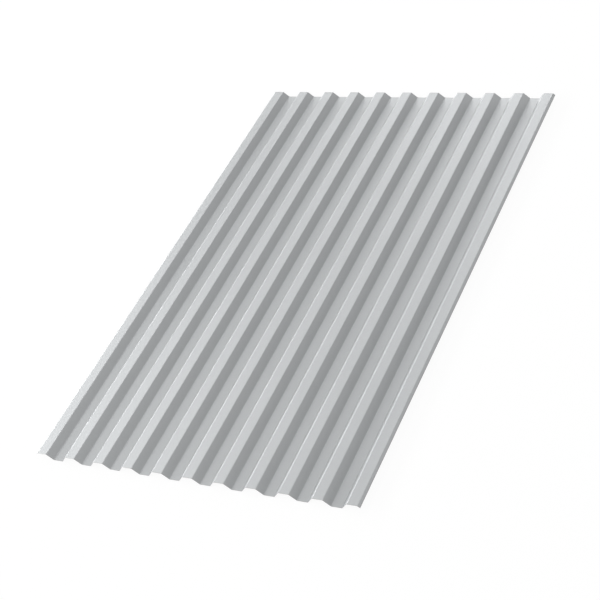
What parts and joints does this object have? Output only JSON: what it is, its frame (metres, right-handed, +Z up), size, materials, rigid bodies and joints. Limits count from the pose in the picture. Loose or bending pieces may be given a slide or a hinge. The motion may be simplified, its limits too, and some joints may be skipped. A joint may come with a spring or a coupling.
{
  "type": "profiled metal sheet",
  "caption": "Trapezoidal roll-formed steel roofing and wall sheet: rows of flat-topped ribs between flat pans, with a short down-turned lip along each side.",
  "frame": {"origin": "middle of the sheet's footprint, at the underside of the pans, where it lies on the floor", "axes": "+X across the ribs, +Y along the ribs, +Z up out of the ribs' tops"},
  "size_m": [1.0438, 1.67, 0.021],
  "materials": {
    "coated_steel": "satin light grey zinc coating on rolled steel, bare steel at the cut edges"
  },
  "bodies": {
    "root": {"profiled_sheet": "coated_steel"}
  },
  "joints": []
}
